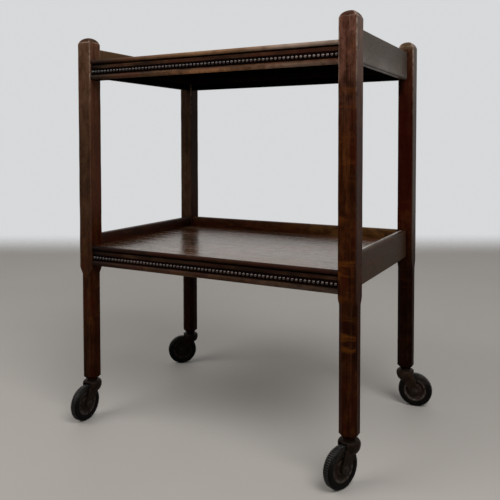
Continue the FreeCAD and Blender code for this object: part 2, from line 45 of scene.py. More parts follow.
# Sizes of the trolley
WIDTH, DEPTH, HEIGHT = 594 * MM, 400 * MM, 785.5 * MM
FRONT = -DEPTH / 2
POST = 32 * MM
POST_HALF = POST / 2
DOME_RISE = 13.6 * MM
DOME_RADIUS = (POST_HALF ** 2 + DOME_RISE ** 2) / (2 * DOME_RISE)
LEG_END, NECK_TOP, NECK_HALF, LEG_END_CHAMFER = 79.5 * MM, 82.5 * MM, 10.6 * MM, 4.6 * MM
LEG_CHAMFER, CHAMFER_LOW, CHAMFER_HIGH = 8 * MM, 301.5 * MM, 316.5 * MM
BOARD = 7.5 * MM
NOSING_SETBACK, NOSING_ROUND, NOSING_MOST = 1 * MM, 3.5 * MM, 3.6 * MM
RAIL_HEIGHT, RAIL, RAIL_INSET, RAIL_ROUND, RAIL_FOOT_ROUND = 59 * MM, 15 * MM, 13.5 * MM, 3 * MM, 4 * MM
RECESS, RECESS_SETBACK = 3.5 * MM, 7 * MM
FRIEZE, FRIEZE_SETBACK = 6.5 * MM, 4.5 * MM
BEAD_BAND, BEAD, BEAD_PITCH, BEAD_BACKING = 12.4 * MM, 6.8 * MM, 7.9 * MM, 2 * MM
BEAD_FLATNESS, BEAD_LEAST = 0.82, 0.93
LIP, LIP_SETBACK, LIP_ROUND = 10.1 * MM, 1 * MM, 5.5 * MM
FRONT_RAIL = 16 * MM
CLEAT, CLEAT_END_GAP = 12 * MM, 2 * MM
JOINT = 0.1 * MM
CLEAR_WIDTH, CLEAR_DEPTH = WIDTH - 2 * POST, DEPTH - 2 * POST
RAIL_INNER = RAIL_INSET + RAIL

# Heights of each tier: top of the board, top of the gallery
TIERS = {"upper": (738 * MM, 763.5 * MM), "lower": (360 * MM, 382 * MM)}

# Casters: side, end and the direction in which the wheel trails, in degrees from +X
CORNERS = {
    "front_left": (-1, -1, 268),
    "front_right": (1, -1, 246),
    "back_right": (1, 1, 6),
    "back_left": (-1, 1, 220),
}
TRAIL, WHEEL = 21 * MM, 35.5 * MM
TYRE_HALF, TYRE_SHOULDER, TYRE_LIP = 8 * MM, 5.6 * MM, 0.7 * MM
RIB, RIB_COUNT = 0.9 * MM, 56
HORN_HALF = 12.6 * MM

# Wheel discs: radii from the bush to the rim, levels along the axle and roundings; then the axle rivet
BUSH, DISC_BOSS, DISC_SLOPE = 8 * MM, 11.5 * MM, 1.8 * MM
DISC_DISH, DISC_EDGE, DISC_LIP = 15.5 * MM, 24.2 * MM, 2.6 * MM
DISC_PLATE, DISC_FACE, DISC_RISE, DISC_RIM = 1.6 * MM, 3.4 * MM, 2.8 * MM, 6.8 * MM
DISC_BEND, DISC_HOLLOW, DISC_SWEEP = 1.2 * MM, 0.9 * MM, 1.4 * MM
RIVET_HEAD, RIVET_RISE, RIVET_SHANK = 6.5 * MM, 2.5 * MM, 4 * MM

# Softness of the posts' arrises, shares of it on the legs and domes, and how far the wear of an edge reaches
ARRIS, ARRIS_ROUND = 1.1 * MM, 0.9 * MM
LEG_SHARE, DOME_SHARE, DOME_CUT, DOME_ROUND = 0.3, 1.6, 0.35, 0.2
COLLAR, SMALL_COLLAR, TINY_COLLAR = 2.4 * MM, 1.2 * MM, 0.6 * MM

# Roundings of small edges, from those hidden in a joint to those of a moulding
SNUG, CRISP, CUT, SAWN, PLANED, MOULDED = 0.2 * MM, 0.3 * MM, 0.4 * MM, 0.5 * MM, 0.6 * MM, 0.8 * MM

# Wear and painted light at the points of a piece: below plain is painted shade, and the worn glint is partly
# a painted highlight; faces whose every point is below the last are left unpolished and painted dark as in
# shade
RAW_SHADE, DEEP_SHADE, BACKING_SHADE, SHADED, PLAIN, WORN_GLINT, RUBBED = -1.0, -0.9, -0.8, -0.25, 0.0, 0.8, 0.9
RAW_SHADE_BELOW = -0.95

# Share that a corner loses where a square becomes an even octagon, and the angle where a dome's top is flat
OCTAGON_CUT = 0.586
DOME_FLAT = math.radians(86)

# Grid on which the horns are softened
HORN_GRID = 0.55 * MM

# Unevenness of hand work: the most by which a rounding varies, and waves a metre along the piece
POST_HAND, RAIL_HAND, NOSING_HAND, MOULDING_HAND = (0.6, 28), (0.22, 22), (0.06, 16), (0.35, 18)

# Rows of points: up a post's foot, leg, chamfer stop, shaft and dome, then along the other pieces
FOOT_ROWS, LEG_ROWS, STOP_ROWS, SHAFT_ROWS, DOME_ROWS = 4, 26, 6, 60, 12
RAIL_ROWS, BOARD_ROWS, MOULDING_ROWS, STRIP_ROWS, CLEAT_ROWS, BACK_ROWS = 36, 40, 54, 30, 12, 16


# Forms

def drift(*where):
    """Smooth unevenness between -1 and 1 that depends only on the place"""
    return noise.noise(Vector(where))


def uneven(hand, station, *where):
    """Factor near 1 that wanders along a piece, by a hand's unevenness and a place of its own in the noise"""
    most, waves = hand
    return 1 + most * drift(station * waves, *where)


def spread(low, high, count):
    """Evenly spaced values, both ends included"""
    return [low + (high - low) * k / (count - 1) for k in range(count)]


def eased(corners, steps=4, collar=COLLAR):
    """Points (u, v, arris) round an outline of corners (u, v, radius), each rounded between two collars.

    A corner may add its own arris value: 1 is rubbed, 0 is plain and -1 is raw and painted dark as in shade;
    inside corners lean towards -1 and come out darker.
    """
    ring = corners[1:] + corners[:1]
    area = sum(a[0] * b[1] - b[0] * a[1] for a, b in zip(corners, ring))
    points = []
    for k, (u, v, radius, *given) in enumerate(corners):
        here = Vector((u, v))
        if radius == 0:
            points.append((u, v, given[0] if given else 0.0))
            continue
        back = Vector(corners[k - 1][:2]) - here
        ahead = Vector(ring[k][:2]) - here
        arris = 1.0 if back.cross(ahead) * area < 0 else -1.0
        bend = back.angle(ahead)
        reach = radius / math.tan(bend / 2)
        shy = [max(JOINT / 10, min(collar, way.length / 5, way.length / 2 - reach)) for way in (back, ahead)]
        beside = [arris * (1 - step / collar) for step in shy]
        if given:
            arris, beside = given[0], [given[0]] * 2
        ways = back.normalized(), ahead.normalized()
        middle = here + (ways[0] + ways[1]).normalized() * radius / math.sin(bend / 2)
        first, last = here + ways[0] * reach, here + ways[1] * reach
        start = first - middle
        angle = math.atan2(start.y, start.x)
        finish = last - middle
        sweep = (math.atan2(finish.y, finish.x) - angle + math.pi) % math.tau - math.pi
        points.append((*(first + ways[0] * shy[0]), beside[0]))
        for step in range(steps + 1):
            turn = angle + sweep * step / steps
            points.append((middle.x + radius * math.cos(turn), middle.y + radius * math.sin(turn), arris))
        points.append((*(last + ways[1] * shy[1]), beside[1]))
    return points


def finished(form, name, sharp=40):
    """Mesh of a form, its normals outwards and its shading smooth except at sharp edges"""
    bmesh.ops.recalc_face_normals(form, faces=form.faces)
    for face in form.faces:
        face.smooth = True
    mesh = bpy.data.meshes.new(name)
    form.to_mesh(mesh)
    form.free()
    mesh.set_sharp_from_angle(angle=math.radians(sharp))
    return mesh


def row_of(form, layer, points):
    """New row of (point, arris) in a form"""
    row = []
    for point, arris in points:
        vert = form.verts.new(point)
        vert[layer] = arris
        row.append(vert)
    return row


def skin(name, *lofts):
    """Closed skins over lofts, each a list of sections of (point, arris)"""
    form = bmesh.new()
    layer = form.verts.layers.float.new("arris")
    for sections in lofts:
        rows = [row_of(form, layer, section) for section in sections]
        count = len(rows[0])
        for low, high in zip(rows, rows[1:]):
            for k in range(count):
                after = (k + 1) % count
                face = form.faces.new((low[k], low[after], high[after], high[k]))
                face.material_index = int(max(vert[layer] for vert in face.verts) < RAW_SHADE_BELOW)
        form.faces.new(reversed(rows[0]))
        form.faces.new(rows[-1])
    return finished(form, name)


def along(axis, stations, outline_at):
    """Sections of an outline carried along X or Y"""
    return [[(Vector((s, u, v) if axis == "X" else (u, s, v)), arris) for u, v, arris in outline_at(s)]
            for s in stations]


def turned(name, outline, matrix, closed=True, steps=96):
    """Turned skin round the local Y axis through points (radius, along, arris)"""
    form = bmesh.new()
    layer = form.verts.layers.float.new("arris")
    rings = []
    for step in range(steps):
        angle = math.tau * step / steps
        rings.append(row_of(form, layer, [
            (matrix @ Vector((radius * math.sin(angle), level, radius * math.cos(angle))), arris)
            for radius, level, arris in outline]))
    count = len(outline)
    spans = count if closed else count - 1
    for ring, after in zip(rings, rings[1:] + rings[:1]):
        for k in range(spans):
            other = (k + 1) % count
            form.faces.new((ring[k], ring[other], after[other], after[k]))
    bmesh.ops.remove_doubles(form, verts=form.verts, dist=MM / 1000)
    return finished(form, name)


def placed(name, data):
    """New object in the scene"""
    thing = bpy.data.objects.new(name, data)
    bpy.context.scene.collection.objects.link(thing)
    return thing


def fit(name, mesh, body, slot, finishes, *nodes):
    """A finished piece that rides on a body and stands for its nodes; no finishes means it has its own"""
    piece = placed(name, mesh)
    for finish in finishes:
        mesh.materials.append(finish)
    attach(piece, body)
    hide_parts(*nodes)


def settled(name, mesh, *modifiers):
    """Mesh after modifiers, each given as (type, settings)"""
    blank = placed(name, mesh)
    for kind, settings in modifiers:
        modifier = blank.modifiers.new(kind, kind)
        for key, value in settings.items():
            setattr(modifier, key, value)
    return harvest(blank)


def harvest(blank):
    """Plain mesh of an object with its modifiers worked in; the object itself goes"""
    bpy.context.view_layer.update()
    evaluated = blank.evaluated_get(bpy.context.evaluated_depsgraph_get())
    mesh = bpy.data.meshes.new_from_object(evaluated)
    bpy.data.objects.remove(blank)
    return mesh


# Finishes

class Nodes:
    """Node tree that is built up from short calls"""

    def __init__(self, tree):
        self.tree = tree

    def feed(self, value, socket):
        """Link a socket to another one, or give it a plain value"""
        if isinstance(value, bpy.types.NodeSocket):
            self.tree.links.new(value, socket)
        else:
            socket.default_value = value

    def add(self, kind, inputs=(), **settings):
        """New node with settings; its inputs come in order, or by key"""
        node = self.tree.nodes.new(kind)
        for key, value in settings.items():
            setattr(node, key, value)
        for key, value in inputs.items() if isinstance(inputs, dict) else enumerate(inputs):
            self.feed(value, node.inputs[key])
        return node

    def reckon(self, operation, first, second=0.0):
        """Result of a sum"""
        return self.add("ShaderNodeMath", (first, second), operation=operation).outputs[0]

    def level(self, value, low, high, out_low=0.0, out_high=1.0):
        """Value eased from one range into another"""
        return self.add("ShaderNodeMapRange", (value, low, high, out_low, out_high),
                        interpolation_type="SMOOTHSTEP").outputs[0]


class Finish(Nodes):
    """Node material of one finish"""

    def __init__(self, name):
        self.material = bpy.data.materials.new(name)
        self.material.use_nodes = True
        super().__init__(self.material.node_tree)
        self.shader = self.tree.nodes["Principled BSDF"]
        self.place = self.add("ShaderNodeTexCoord").outputs["Object"]

    def grain(self, scale, stretch=(1, 1, 1), detail=3.0, rough=0.5, twist=0.0, shift=0.0):
        """Noise of so many features a metre, drawn out along an axis by a share below 1"""
        mapping = self.add("ShaderNodeMapping", {
            "Vector": self.place, "Location": (shift, shift * 0.7, shift * 1.3), "Scale": stretch})
        texture = self.add("ShaderNodeTexNoise", {
            "Vector": mapping.outputs["Vector"], "Scale": scale, "Detail": detail, "Roughness": rough,
            "Distortion": twist})
        return texture.outputs[0]

    def times(self, first, *others):
        """Product of values"""
        for other in others:
            first = self.reckon("MULTIPLY", first, other)
        return first

    def weigh(self, *parts):
        """Sum of (value, weight) pairs"""
        total = None
        for value, weight in parts:
            term = self.times(value, weight)
            total = term if total is None else self.reckon("ADD", total, term)
        return total

    def blend(self, share, first, second):
        """Mix of two colours"""
        first, second = ((*given, 1) if isinstance(given, tuple) else given for given in (first, second))
        return self.add("ShaderNodeMix", {0: share, 6: first, 7: second}, data_type="RGBA").outputs[2]

    def dim(self, colour, share):
        """Share of a colour"""
        return self.add("ShaderNodeVectorMath", {0: colour, "Scale": share}, operation="SCALE").outputs[0]

    def darken(self, colour, share):
        """Colour less a share of itself"""
        return self.dim(colour, self.reckon("SUBTRACT", 1.0, share))

    def shades(self, value, *stops):
        """Colour along a row of (position, colour) stops"""
        node = self.add("ShaderNodeValToRGB", (value,))
        row = node.color_ramp.elements
        while len(row) < len(stops):
            row.new(0.5)
        for element, (position, colour) in zip(row, stops):
            element.position = position
            element.color = (*colour, 1)
        return node.outputs[0]

    def axes(self):
        """Coordinates of a place, each by itself"""
        return self.add("ShaderNodeSeparateXYZ", (self.place,)).outputs

    def near(self, value, spot, reach):
        """1 at a spot, easing to 0 within a reach of it"""
        away = self.reckon("ABSOLUTE", self.reckon("SUBTRACT", value, spot))
        return self.level(away, reach, reach / 2)

    def caster_light_and_shade(self):
        """Painted shade and light on a caster: darkest in the far left corner, painted lighter in the far
        right one
        """
        across, deep, _ = self.axes()
        left = self.level(self.reckon("SUBTRACT", deep, across), 0.25, 0.40, 1.0, 0.5)
        right = self.level(self.reckon("ADD", deep, across), 0.25, 0.40, 1.0, 1.7)
        return self.times(left, right)

    def mark(self, name):
        """Value carried by the points of a piece"""
        return self.add("ShaderNodeAttribute", attribute_name=name).outputs["Fac"]

    def relief(self, height, strength, depth):
        """Bump of the surface, at full strength as high as the depth"""
        bump = self.add("ShaderNodeBump", {"Strength": strength, "Distance": depth, "Height": height})
        self.feed(bump.outputs[0], self.shader.inputs["Normal"])

    def done(self, colour, roughness, metal=0.0, sheen=0.5):
        """Material of the colour and roughness, with the strength of its shine"""
        self.feed(colour, self.shader.inputs["Base Color"])
        self.feed(roughness, self.shader.inputs["Roughness"])
        self.shader.inputs["Metallic"].default_value = metal
        self.shader.inputs["Specular IOR Level"].default_value = sheen
        return self.material


def run_of(axis, share):
    """Stretch that draws a pattern out along the run of the grain"""
    return tuple(share if name == axis else 1 for name in "XYZ")


# Patterns in the oak: features a metre, share along the grain, detail, roughness and twist
RINGS = 120, 0.045, 4, 0.6, 0.7
STREAKS = 620, 0.022, 3, 0.6, 0.2
BLOTS = 64, 0.5, 4, 0.62, 0.8
PORES = 1500, 0.07, 1, 0.5, 0.0
CLOUDS = 13, 0.4, 4, 0.55, 0.3
REDNESS = 38, 0.35, 3, 0.55, 0.4

# Oak tones: dark, middle, light and rubbed; the pale rubbed tones of the end rails and posts are partly
# painted highlights
OAK = ((0.012, 0.0029, 0.0007), (0.032, 0.0078, 0.0020), (0.070, 0.0220, 0.0056), (0.165, 0.094, 0.056))
DARK_OAK = tuple(tuple(0.42 * c for c in tone) for tone in OAK)
GOLDEN_OAK = ((0.022, 0.0090, 0.0034), (0.058, 0.0250, 0.0095), (0.120, 0.0600, 0.0240), (0.25, 0.16, 0.10))
GREY_WEAR_AND_GLINT = (*OAK[:3], (0.42, 0.38, 0.345))
PALE_WEAR_AND_GLINT = (*OAK[:3], (0.29, 0.205, 0.155))
NOSING_WEAR = (*OAK[:3], (0.34, 0.185, 0.095))
BROWN_OAK = ((0.012, 0.0046, 0.0016), (0.038, 0.0160, 0.0066), (0.095, 0.045, 0.0200), (0.44, 0.205, 0.090))
# Raw wood under the boards, rails and cleats, near black: painted shade
RAW_WOOD_IN_SHADE = ((0.003, 0.0017, 0.001), (0.006, 0.0035, 0.002), (0.012, 0.007, 0.004), (0.02, 0.012, 0.007))

# Tones painted on places of the oak; most stand for the light, reflection and shade that fall there
TOP_GOLD, TOP_RED = (0.142, 0.068, 0.036), (0.175, 0.075, 0.050)
POST_TAN, POST_SIDE_SHEEN = (0.092, 0.054, 0.031), (0.125, 0.105, 0.092)
INNER_RED, INNER_GREY = (0.12, 0.048, 0.028), (0.075, 0.062, 0.052)
CAP_GOLD, SHADED_RED = (0.15, 0.10, 0.055), (0.044, 0.0042, 0.0018)
LOW_GREY, HIGH_GREY = (0.072, 0.060, 0.040), (0.080, 0.069, 0.056)
RAIL_GOLD, BACK_GOLD = (0.13, 0.07, 0.028), (0.122, 0.055, 0.015)
MOULDING_PALE = (0.52, 0.40, 0.33)

# Stretches over which a tone changes: along X, along Y, in height, and in the value of a pattern
ON_LEFT, ON_RIGHT, AT_BACK = (0.0, -0.2), (0.0, 0.2), (-0.05, 0.15)
BETWEEN_TIERS = 0.38, 0.72
GRAIN = 0.40, 0.60

# Reach of a face of a post, and the height midway between the tiers
FACE = 2 * MM
WAIST = 0.56


def oak(name, axis, tones, gloss, sheen=0.05, fleck=0.0, wear=0.75, lit_wear_low=0.45, lit_wear_high=1.0, figure=0.2,
        even=0.0, streaky=0.12, shade_low=None, post=False, end_rail=False, back_rail=False, let_in=False,
        board=False, shift=0.0):
    """Stained and polished oak with rings, streaks, blots, pores, ray fleck, rubbed arrises and painted shade
    in hollows.

    It may be rubbed evenly, streaky in its polish and painted darker lower down as shade. Posts and rails
    carry painted light, reflection and shade by place, a moulding let in between the posts has the post's
    shadow painted at its left end, and a board is duller along its front.
    """
    dark, middle, light, worn = tones
    f = Finish(name)
    across, deep, height = f.axes()

    def pattern(scale, share, detail, rough, twist, moved=0):
        return f.grain(scale, run_of(axis, share), detail, rough, twist, shift + moved)

    rings, streaks, clouds = pattern(*RINGS), pattern(*STREAKS), pattern(*CLOUDS)
    blots = pattern(*BLOTS, moved=2)
    pores = f.level(pattern(*PORES), 0.40, 0.31)
    mixed = f.weigh((rings, 0.32), (streaks, 0.26), (blots, 0.42))
    colour = f.shades(mixed, (0.39, dark), (0.5, middle), (0.61, light))
    red = f.level(pattern(*REDNESS, moved=5), 0.45, 0.60, 0.0, 0.6)
    colour = f.blend(red, colour, (middle[0] * 1.3, middle[1] * 0.75, middle[2] * 0.9))
    colour = f.dim(colour, f.level(clouds, 0.3, 0.7, 0.62, 1.35))
    if post:
        colour = post_light_and_shade(f, colour, mixed, across, deep, height)
    if end_rail:
        colour = rail_light_and_shade(f, colour, across, height)
    if back_rail:
        golden = f.times(f.level(across, -0.1, 0.16, 0.0, 0.6), f.level(blots, *GRAIN, 0.4, 1.3))
        colour = f.blend(golden, colour, BACK_GOLD)
    # Ray fleck is the oak's own figure; its golden shimmer, kept to where light falls on the front right
    # post, is painted light
    if fleck:
        rays = f.level(f.grain(44, (0.32, 0.32, 1.5), 3, 0.6, 0.25, shift), 0.50, 0.66)
        patch = f.level(f.grain(9, (1, 1, 0.8), 2, shift=shift + 3), 0.42, 0.55)
        in_light = f.level(f.reckon("SUBTRACT", across, deep), 0.2, 0.42, 0.12, 1.0)
        low_down = f.level(height, 0.50, 0.40, 0.25, fleck)
        off_side = f.level(across, WIDTH / 2 - FACE / 2, WIDTH / 2 - 3 * FACE / 2)
        gold = (2.1 * light[0], 2.0 * light[1], 1.1 * light[2])
        colour = f.blend(f.times(rays, patch, in_light, low_down, off_side), colour, gold)
    colour = f.blend(f.times(pores, 0.6), colour, tuple(0.3 * c for c in dark))

    # Rubbed arrises, in patches; their share by height is painted light and shade, fuller where light falls
    # on an edge
    arris = f.mark("arris")
    patchy, worn_heights = (GRAIN, (0.58, 0.76)) if post else ((0.33, 0.55), (0.45, 0.72))
    fine = f.level(f.grain(60, detail=4, rough=0.65, shift=shift), *patchy, even, 1.0)
    broad = f.level(f.grain(10, detail=2, shift=shift), 0.38, 0.58, max(even, 0.4), 1.0)
    wear_lit_by_height = f.level(height, *worn_heights, lit_wear_low, lit_wear_high)
    rubbed = f.times(f.level(arris, 0.5, 1.0), fine, broad, wear_lit_by_height)
    # On a let-in moulding the wear is weaker towards the left end and paler towards the right, partly a
    # painted highlight
    if let_in:
        rubbed = f.times(rubbed, f.level(across, -0.22, 0.0, 0.12, 0.9))
        worn = f.blend(f.level(across, 0.05, 0.2, 0.0, 0.7), worn, MOULDING_PALE)
    # On the end rails the rubbed top edge shows on the right ones, partly as a painted highlight
    if end_rail:
        rubbed = f.times(rubbed, f.level(across, *ON_RIGHT, 0.04, 1.0))
    colour = f.blend(f.times(rubbed, wear), colour, worn)

    # Painted shade in hollows and under boards, darker in inside corners
    hollow_shade = f.level(arris, 0.0, DEEP_SHADE)
    colour = f.blend(f.times(hollow_shade, 0.85), colour, tuple(0.15 * c for c in dark))
    # Painted shade lower down
    if shade_low:
        share, low, high = shade_low
        colour = f.dim(colour, f.level(height, low, high, 1 - share, 1.0))
    # A let-in moulding's left end is painted darker, as the shadow of the post
    if let_in:
        left_end = -CLEAR_WIDTH / 2
        colour = f.dim(colour, f.level(across, left_end, left_end + 90 * MM, 0.35, 1.0))

    # Relief and polish
    raised, sunk = (1.1, -0.35) if board else (0.35, -0.9)
    f.relief(f.weigh((streaks, raised), (pores, sunk), (rings, 0.5)), figure, 0.4 * MM)
    polish = f.level(arris, 0.2, 0.9, 0.0, -0.1)
    dull = f.level(deep, -0.06, -0.19, 0.0, 0.08) if board else 0.0
    roughness = f.weigh((streaks, 0.16), (rings, streaky), (pores, 0.18), (clouds, 0.14), (hollow_shade, 0.6),
                        (polish, 1.0), (dull, 1.0), (1.0, gloss - 0.15 - streaky / 2))
    return f.done(colour, roughness, sheen=sheen)


def post_light_and_shade(f, colour, mixed, across, deep, height):
    """Colour of the posts: painted light and reflection towards the top and on the lit faces, painted shade
    at the back, low down and in the far corner
    """
    front = f.reckon("MAXIMUM", f.near(deep, FRONT, FACE), f.near(deep, DEPTH / 2 - POST, FACE))
    at_back = f.level(deep, *AT_BACK)

    # Tops: painted light and reflection, golden, and redder on the lit front right post
    high_up = f.times(f.level(height, 0.55, 0.76, 0.0, 0.55), f.level(mixed, *GRAIN, 0.25, 1.45))
    sunny = f.times(f.level(across, *ON_RIGHT), f.level(deep, 0.0, -0.15))
    colour = f.blend(high_up, colour, f.blend(sunny, TOP_GOLD, TOP_RED))

    # Faces: painted light, tan in front on the left and paler inside on the left; a painted reflection of the
    # pale wall on the right side
    tan = f.times(f.level(deep, *AT_BACK, 0.42, 0.67), f.level(height, 0.25, 0.45, 0.2, 1.0),
                  f.level(mixed, *GRAIN, 0.5, 1.2))
    colour = f.blend(f.times(front, f.level(across, *ON_LEFT), tan), colour, POST_TAN)
    side_sheen = f.times(f.level(deep, *AT_BACK, 0.11, 0.79), f.level(height, 0.30, 0.45, 0.1, 1.0))
    side_sheen = f.reckon("MAXIMUM", side_sheen, f.level(height, 0.60, 0.74, 0.0, 0.45))
    colour = f.blend(f.times(f.near(across, WIDTH / 2, FACE), side_sheen), colour, POST_SIDE_SHEEN)
    inward = f.times(f.near(across, POST - WIDTH / 2, FACE), f.level(height, 0.38, 0.46, 0.0, 0.35))
    colour = f.blend(inward, colour, f.blend(at_back, INNER_RED, INNER_GREY))

    # Domes: painted light, golden, at the back, and painted shade in front
    cap = f.times(f.level(height, HEIGHT - 1.5 * DOME_RISE, HEIGHT - DOME_RISE, 0.0, 0.6), at_back)
    colour = f.blend(cap, colour, CAP_GOLD)
    dome = f.level(height, HEIGHT - DOME_RISE, HEIGHT - DOME_RISE / 2, 0.0, 0.4)
    colour = f.darken(colour, f.times(dome, f.level(deep, *AT_BACK[::-1])))

    # Back posts: painted shade lower down, under the lower tier, the right one's front painted a darker red
    # as shade, and painted shade under the upper tier
    colour = f.darken(colour, f.times(at_back, f.level(height, 0.40, 0.28, 0.25, 0.70)))
    red = f.times(f.near(height, WAIST, 0.22), f.level(across, *ON_RIGHT, 0.0, 0.65), at_back, front)
    colour = f.blend(red, colour, SHADED_RED)
    under = f.times(f.near(height, 0.692, 0.026), f.level(across, WIDTH / 2 - 0.4 * POST, WIDTH / 2 - POST),
                    at_back, f.level(across, 0.0, 0.1, 0.0, 0.9))
    colour = f.darken(colour, under)

    # Painted shade on the right posts between the tiers and in the far left corner; darker at the leg ends
    colour = f.darken(colour, f.times(f.near(height, WAIST, 0.16), f.level(across, *ON_RIGHT, 0.0, 0.22)))
    colour = f.dim(colour, f.level(height, LEG_END, LEG_END + 14 * MM, 0.45, 1.0))
    far_left = f.level(f.reckon("SUBTRACT", deep, across), 0.3, 0.42)
    return f.darken(colour, f.times(far_left, f.level(height, 0.42, 0.66, -0.2, 0.45)))


def rail_light_and_shade(f, colour, across, height):
    """Colour of the end rails: a painted grey reflection outside, most of all on the upper tier, painted
    shade on the left ones and painted golden light inside them
    """
    outside = f.near(f.reckon("ABSOLUTE", across), WIDTH / 2 - RAIL_INSET, RAIL / 2)
    grey = f.times(outside, f.level(height, *BETWEEN_TIERS, 0.34, 0.72))
    colour = f.blend(grey, colour, f.blend(f.level(height, *BETWEEN_TIERS), LOW_GREY, HIGH_GREY))
    shade = f.times(f.level(across, -0.2, 0.0, 0.7, 1.0), f.level(height, *BETWEEN_TIERS, 0.8, 1.0))
    colour = f.dim(colour, shade)
    lit = f.times(f.near(across, RAIL_INNER - WIDTH / 2, RAIL / 2), f.level(height, 0.5, 0.7, 0.0, 0.6))
    return f.blend(lit, colour, RAIL_GOLD)


def iron(name, deep, brown, rust, bright, metal, gloss, shift=0.0):
    """Browned and pitted metal, brighter where it is rubbed"""
    f = Finish(name)
    stain = f.grain(95, detail=5, rough=0.62, twist=0.4, shift=shift)
    spots = f.grain(420, rough=0.6, shift=shift)
    pits = f.level(f.grain(900, detail=2, shift=shift), 0.42, 0.30)
    colour = f.shades(f.weigh((stain, 0.65), (spots, 0.35)), (0.34, deep), (0.52, brown), (0.70, rust))
    patchy = f.level(f.grain(160, rough=0.6, shift=shift + 2), 0.38, 0.62, 0.0, 0.75)
    colour = f.blend(f.times(f.level(f.mark("arris"), 0.25, 1.0), patchy), colour, bright)
    colour = f.blend(f.times(pits, 0.6), colour, tuple(0.35 * c for c in deep))
    f.relief(f.weigh((spots, 0.4), (pits, -0.8), (stain, 0.5)), 0.3, 0.35 * MM)
    roughness = f.weigh((stain, 0.3), (pits, 0.2), (1.0, gloss - 0.15))
    # Painted light and shade by the caster's corner
    return f.done(f.dim(colour, f.caster_light_and_shade()), roughness, metal, 0.05)


def rubber(name, clean, dusty, gloss, sheen):
    """Aged black rubber with dust in its pores, painted darker lower down and lighter higher up, as light
    falls
    """
    f = Finish(name)
    dust = f.grain(130, detail=5, rough=0.65, twist=0.3)
    specks = f.grain(1100, detail=2, rough=0.6)
    colour = f.blend(f.level(dust, 0.35, 0.68), clean, dusty)
    f.relief(f.weigh((specks, 0.5), (dust, 0.5)), 0.2, 0.3 * MM)
    # Painted light and shade by height and by the caster's corner
    lit_higher = f.level(f.axes()[2], 1.1 * WHEEL, 1.7 * WHEEL, 0.2, 1.15)
    colour = f.dim(colour, f.times(f.caster_light_and_shade(), lit_higher))
    roughness = f.weigh((dust, 0.25), (lit_higher, -0.25), (1.0, gloss + 0.13))
    return f.done(colour, roughness, sheen=sheen)


post_oak = oak("post_oak", "Z", PALE_WEAR_AND_GLINT, 0.42, 0.02, fleck=0.7, wear=0.9, lit_wear_low=0.04, even=0.1,
               shade_low=(0.37, 0.1, 0.62), post=True)
board_oak = oak("board_oak", "X", GOLDEN_OAK, 0.20, 1.0, wear=0.5, lit_wear_low=0.1, figure=0.4, streaky=0.7,
                board=True, shift=1.7)
nosing_oak = oak("nosing_oak", "X", NOSING_WEAR, 0.5, 0.06, wear=0.95, lit_wear_low=0.03, even=0.7,
                 shade_low=(0.5, 0.4, 0.7), let_in=True, shift=2.2)
front_oak = oak("front_rail_oak", "X", BROWN_OAK, 0.42, 0.06, wear=0.95, lit_wear_low=0.3, even=0.35,
                shade_low=(0.45, 0.4, 0.7), let_in=True, shift=2.9)
back_oak = oak("back_rail_oak", "X", OAK, 0.42, 0.03, fleck=0.6, wear=0.25, back_rail=True, shift=4.1)
end_oak = oak("end_rail_oak", "Y", GREY_WEAR_AND_GLINT, 0.46, wear=0.9, lit_wear_low=1.0, lit_wear_high=0.3, even=0.3,
              end_rail=True, shift=5.3)
bead_oak = oak("bead_oak", "X", DARK_OAK, 0.22, 0.75, wear=0.4, let_in=True, shift=6.1)
channel_oak = oak("bead_channel_oak", "X", DARK_OAK, 0.7, let_in=True, shift=6.1)
# Cleats and unpolished undersides in near-black raw wood: painted shade
cleat_wood = oak("cleat_wood", "Y", RAW_WOOD_IN_SHADE, 0.7, 0.0, shift=7.7)
raw_oak = oak("raw_oak", "X", RAW_WOOD_IN_SHADE, 0.8, 0.0, shift=8.3)
horn_iron = iron("horn_iron", (0.0055, 0.0028, 0.0016), (0.0115, 0.0061, 0.0037), (0.025, 0.0130, 0.0074),
                 (0.050, 0.037, 0.029), 0.05, 0.5)
disc_steel = iron("disc_steel", (0.0080, 0.0046, 0.0034), (0.0160, 0.0096, 0.0072), (0.036, 0.024, 0.016),
                  (0.092, 0.082, 0.071), 0.1, 0.48, 2.3)
rivet_steel = iron("rivet_steel", (0.005, 0.0033, 0.0025), (0.011, 0.0068, 0.0047), (0.022, 0.013, 0.0085),
                   (0.05, 0.040, 0.033), 0.1, 0.48, 3.1)
fitting_steel = iron("fitting_steel", (0.008, 0.006, 0.005), (0.02, 0.015, 0.012), (0.04, 0.03, 0.022),
                     (0.09, 0.08, 0.07), 0.5, 0.44, 4.7)
tyre_rubber = rubber("tyre_rubber", (0.0040, 0.0033, 0.0027), (0.0125, 0.0098, 0.0080), 0.46, 0.08)
rib_rubber = rubber("rib_rubber", (0.006, 0.0056, 0.0052), (0.026, 0.025, 0.024), 0.36, 0.4)


# Posts

def post_outline(half, cuts, radius):
    """Square with its four corners cut, anticlockwise"""
    corners = []
    for quarter, (side, end) in enumerate(((1, 1), (-1, 1), (-1, -1), (1, -1))):
        near = half - cuts[quarter]
        pair = [(side * half, end * near, radius), (side * near, end * half, radius)]
        corners += reversed(pair) if quarter % 2 else pair
    return corners


